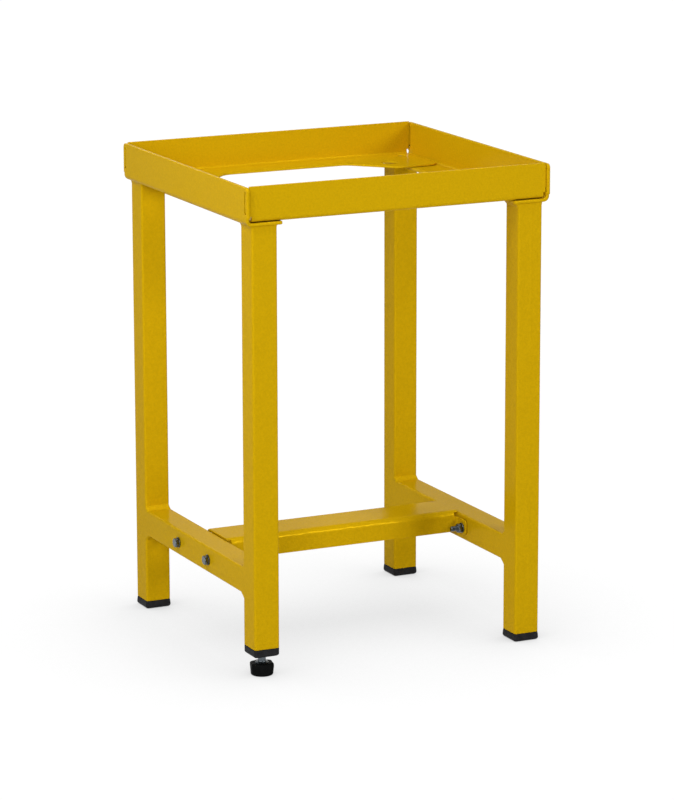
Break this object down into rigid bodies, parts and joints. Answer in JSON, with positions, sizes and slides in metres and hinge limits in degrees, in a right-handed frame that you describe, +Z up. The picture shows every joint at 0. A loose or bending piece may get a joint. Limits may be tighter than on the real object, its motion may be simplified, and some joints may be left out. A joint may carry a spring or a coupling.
{
  "type": "tool chest stand",
  "caption": "Square-tube stand whose shallow folded-sheet tray seats a tool chest, with a bolted lower stretcher and a screw foot for levelling.",
  "frame": {"origin": "on the floor, under the middle of the stand", "axes": "+Z up, +X to the stand's right as seen from the front, +Y to its rear"},
  "size_m": [0.492, 0.464, 0.7332],
  "materials": {
    "yellow_paint": "yellow powder coat with a fine orange-peel texture, semi-gloss",
    "zinc_steel": "bright zinc plate",
    "black_plastic": "moulded, satin"
  },
  "bodies": {
    "frame": {"left_side_angle": "yellow_paint", "right_side_angle": "yellow_paint", "front_tray_rail": "yellow_paint", "rear_tray_rail": "yellow_paint", "front_left_leg": "yellow_paint", "front_right_leg": "yellow_paint", "rear_left_leg": "yellow_paint", "rear_right_leg": "yellow_paint", "left_end_rail": "yellow_paint", "right_end_rail": "yellow_paint", "stretcher": "yellow_paint", "front_left_tray_screw": "zinc_steel", "front_right_tray_screw": "zinc_steel", "rear_left_tray_screw": "zinc_steel", "rear_right_tray_screw": "zinc_steel", "front_left_weld_nut": "zinc_steel", "front_right_weld_nut": "zinc_steel", "rear_left_weld_nut": "zinc_steel", "rear_right_weld_nut": "zinc_steel", "front_left_bolt": "zinc_steel", "front_right_bolt": "zinc_steel", "rear_left_bolt": "zinc_steel", "rear_right_bolt": "zinc_steel", "front_left_head_washer": "zinc_steel", "front_right_head_washer": "zinc_steel", "rear_left_head_washer": "zinc_steel", "rear_right_head_washer": "zinc_steel", "front_left_nut_washer": "zinc_steel", "front_right_nut_washer": "zinc_steel", "rear_left_nut_washer": "zinc_steel", "rear_right_nut_washer": "zinc_steel", "front_left_nut": "zinc_steel", "front_right_nut": "zinc_steel", "rear_left_nut": "zinc_steel", "rear_right_nut": "zinc_steel", "front_right_end_cap": "black_plastic", "rear_left_end_cap": "black_plastic", "rear_right_end_cap": "black_plastic", "front_left_insert": "black_plastic"},
    "stud": {"foot_stud": "zinc_steel"},
    "base": {"foot_base": "black_plastic"}
  },
  "joints": [
    {"name": "foot_travel", "type": "slide", "parent": "frame", "child": "stud", "axis": [0, 0, 1], "range_m": [-0.02, 0.008]},
    {"name": "foot_turn", "type": "hinge", "parent": "stud", "child": "base", "pos_m": [-0.216, -0.206, 0], "axis": [0, 0, 1], "range_deg": [-4200, 1700]}
  ],
  "couplings": [
    {"joint": "foot_turn", "follows": "foot_travel", "rad_per_m": 3590.4}
  ]
}
